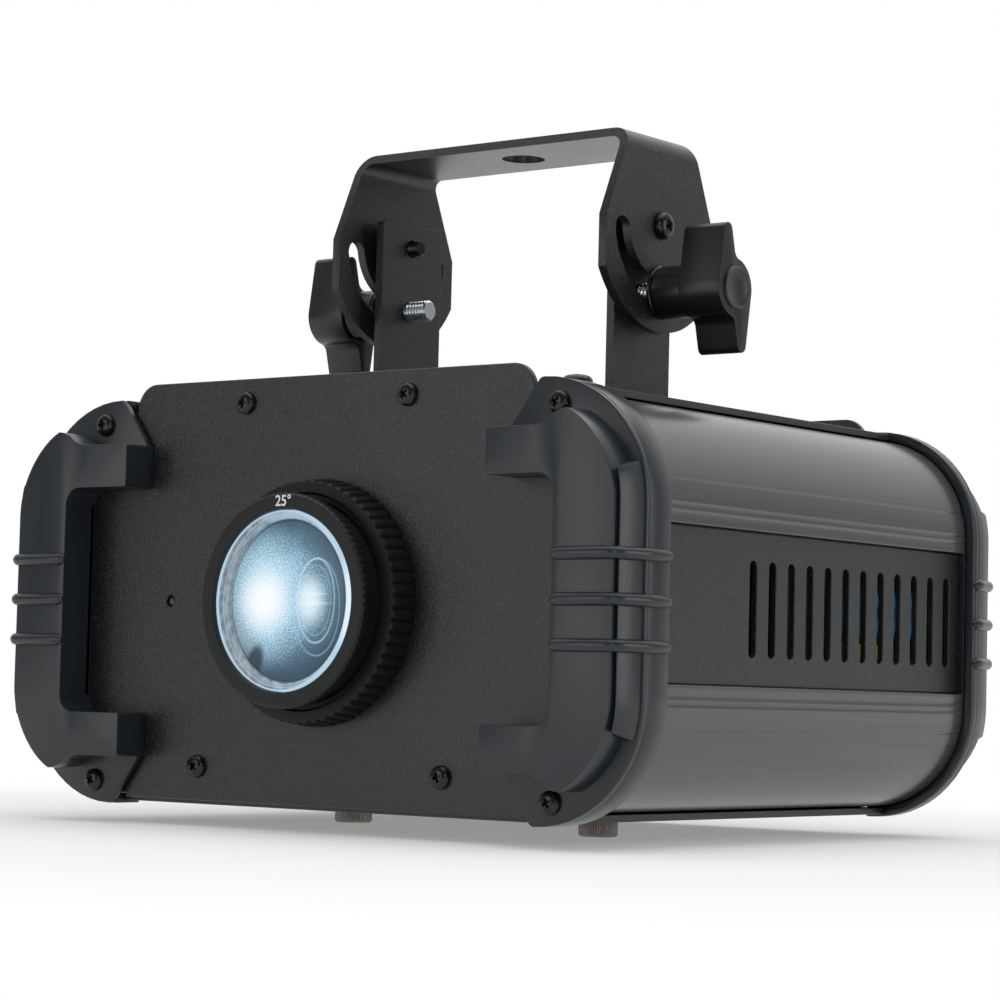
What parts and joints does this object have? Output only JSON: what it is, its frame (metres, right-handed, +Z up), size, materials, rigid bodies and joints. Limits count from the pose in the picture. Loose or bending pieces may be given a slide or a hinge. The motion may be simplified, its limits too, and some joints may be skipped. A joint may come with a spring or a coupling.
{
  "type": "gobo projector",
  "caption": "Stage light that throws a turning pattern through a focusing lens, in a vented housing with corner guards, hung from a tilting yoke with clamp knobs.",
  "frame": {"origin": "bottom centre of the bounding box, on the surface that the thumbscrews stand on", "axes": "+Z up, the lens faces -Y, +X is to the right seen from the front"},
  "size_m": [0.249, 0.2222, 0.2251],
  "materials": {
    "textured_steel": "fine black texture coat",
    "guard_plastic": "satin moulded blue-grey",
    "gunmetal_aluminium": "brushed gunmetal anodised",
    "black_plastic": "satin moulded black",
    "black_anodised": "satin black anodised",
    "black_oxide_steel": "black oxide",
    "zinc_steel": "bright zinc plate",
    "bronzed_steel": "dark knurled steel",
    "bare_aluminium": "milled",
    "galvanised_steel": "galvanised sheet",
    "lens_glass": "clear",
    "smoked_window": "smoked, polished",
    "circuit_board": "green solder mask",
    "white_board": "white solder mask",
    "blue_sleeve": "shrink sleeve",
    "amber_tape": "polyester tape",
    "nylon": "moulded nylon"
  },
  "bodies": {
    "housing": {"front_plate": "textured_steel", "rear_plate": "textured_steel", "guard_front_right": "guard_plastic", "guard_front_left": "guard_plastic", "guard_rear_right": "guard_plastic", "guard_rear_left": "guard_plastic", "extrusion_upper_right": "gunmetal_aluminium", "extrusion_upper_left": "gunmetal_aluminium", "extrusion_lower_right": "gunmetal_aluminium", "extrusion_lower_left": "gunmetal_aluminium", "side_panel_right": "textured_steel", "side_panel_left": "textured_steel", "top_cover": "textured_steel", "bottom_cover": "textured_steel", "bottom_hatch": "textured_steel", "yoke_base": "textured_steel", "lens_tube": "black_anodised", "gobo_bracket": "galvanised_steel", "gobo_motor": "zinc_steel", "condenser_holder": "galvanised_steel", "condenser_lens": "lens_glass", "led_heatsink": "bare_aluminium", "led_board": "white_board", "fan_frame": "black_plastic", "power_board": "circuit_board", "capacitor": "blue_sleeve", "transformer": "amber_tape", "control_board": "circuit_board", "display_window": "smoked_window", "power_inlet": "black_plastic", "data_in": "black_plastic", "data_out": "black_plastic", "safety_loop": "black_oxide_steel", "sensor_window": "smoked_window", "pivot_screw_right": "black_oxide_steel", "pivot_screw_left": "black_oxide_steel", "pivot_spacer_right": "nylon", "pivot_spacer_left": "nylon"},
    "yoke": {"yoke": "textured_steel"},
    "focus_ring": {"focus_ring": "black_plastic"},
    "lens_barrel": {"lens_barrel": "black_anodised", "front_ring": "black_anodised", "front_lens": "lens_glass", "field_lens": "lens_glass"},
    "gobo_wheel": {"gobo_gear": "nylon", "gobo_disc": "bare_aluminium"},
    "motor_pinion": {"motor_pinion": "bronzed_steel"},
    "fan_rotor": {"fan_rotor": "black_plastic"},
    "washer_right": {"washer_right": "black_oxide_steel"},
    "washer_left": {"washer_left": "black_oxide_steel"},
    "knob_right": {"knob_right": "black_plastic", "stud_right": "zinc_steel"},
    "knob_left": {"knob_left": "black_plastic", "stud_left": "zinc_steel"},
    "hatch_thumbscrew_right": {"hatch_thumbscrew_right": "bronzed_steel"},
    "hatch_thumbscrew_left": {"hatch_thumbscrew_left": "bronzed_steel"},
    "menu_button_1": {"menu_button_1": "black_plastic"},
    "menu_button_2": {"menu_button_2": "black_plastic"},
    "menu_button_3": {"menu_button_3": "black_plastic"},
    "menu_button_4": {"menu_button_4": "black_plastic"}
  },
  "joints": [
    {"name": "yoke_tilt", "type": "hinge", "parent": "housing", "child": "yoke", "pos_m": [0, 0.00365, 0.1953], "axis": [1, 0, 0], "range_deg": [-78, 78]},
    {"name": "focus_turn", "type": "hinge", "parent": "housing", "child": "focus_ring", "pos_m": [0, -0.09795, 0.0701], "axis": [0, -1, 0], "range_deg": [-90, 180]},
    {"name": "barrel_slide", "type": "slide", "parent": "housing", "child": "lens_barrel", "axis": [0, -1, 0], "range_m": [-0.004, 0.008]},
    {"name": "gobo_spin", "type": "hinge", "parent": "housing", "child": "gobo_wheel", "pos_m": [0, -0.01795, 0.0701], "axis": [0, 1, 0], "continuous": true},
    {"name": "pinion_spin", "type": "hinge", "parent": "housing", "child": "motor_pinion", "pos_m": [0.02409, -0.01795, 0.09685], "axis": [0, 1, 0], "continuous": true},
    {"name": "fan_spin", "type": "hinge", "parent": "housing", "child": "fan_rotor", "pos_m": [0, 0.08505, 0.0701], "axis": [0, 1, 0], "continuous": true},
    {"name": "washer_right_slide", "type": "slide", "parent": "housing", "child": "washer_right", "axis": [1, 0, 0], "range_m": [-0.0003, 0.0032]},
    {"name": "knob_right_turn", "type": "hinge", "parent": "washer_right", "child": "knob_right", "pos_m": [0.058, 0.00365, 0.1735], "axis": [1, 0, 0], "range_deg": [0, 720]},
    {"name": "washer_left_slide", "type": "slide", "parent": "housing", "child": "washer_left", "axis": [-1, 0, 0], "range_m": [-0.0003, 0.0032]},
    {"name": "knob_left_turn", "type": "hinge", "parent": "washer_left", "child": "knob_left", "pos_m": [-0.058, 0.00365, 0.1735], "axis": [-1, 0, 0], "range_deg": [0, 720]},
    {"name": "thumbscrew_right_turn", "type": "hinge", "parent": "housing", "child": "hatch_thumbscrew_right", "pos_m": [0.0503, -0.01515, 0.003], "axis": [0, 0, -1], "range_deg": [0, 1440]},
    {"name": "thumbscrew_left_turn", "type": "hinge", "parent": "housing", "child": "hatch_thumbscrew_left", "pos_m": [-0.0503, -0.01515, 0.003], "axis": [0, 0, -1], "range_deg": [0, 1440]},
    {"name": "menu_button_1_press", "type": "slide", "parent": "housing", "child": "menu_button_1", "axis": [0, -1, 0], "range_m": [0, 0.0012], "stiffness_N_per_m": 400, "springref_m": -0.0012},
    {"name": "menu_button_2_press", "type": "slide", "parent": "housing", "child": "menu_button_2", "axis": [0, -1, 0], "range_m": [0, 0.0012], "stiffness_N_per_m": 400, "springref_m": -0.0012},
    {"name": "menu_button_3_press", "type": "slide", "parent": "housing", "child": "menu_button_3", "axis": [0, -1, 0], "range_m": [0, 0.0012], "stiffness_N_per_m": 400, "springref_m": -0.0012},
    {"name": "menu_button_4_press", "type": "slide", "parent": "housing", "child": "menu_button_4", "axis": [0, -1, 0], "range_m": [0, 0.0012], "stiffness_N_per_m": 400, "springref_m": -0.0012}
  ],
  "couplings": [
    {"joint": "focus_turn", "follows": "barrel_slide", "rad_per_m": 392.6},
    {"joint": "pinion_spin", "follows": "gobo_spin", "ratio": -3},
    {"joint": "washer_right_slide", "follows": "knob_right_turn", "m_per_rad": 0.0001989},
    {"joint": "washer_left_slide", "follows": "knob_left_turn", "m_per_rad": 0.0001989}
  ]
}
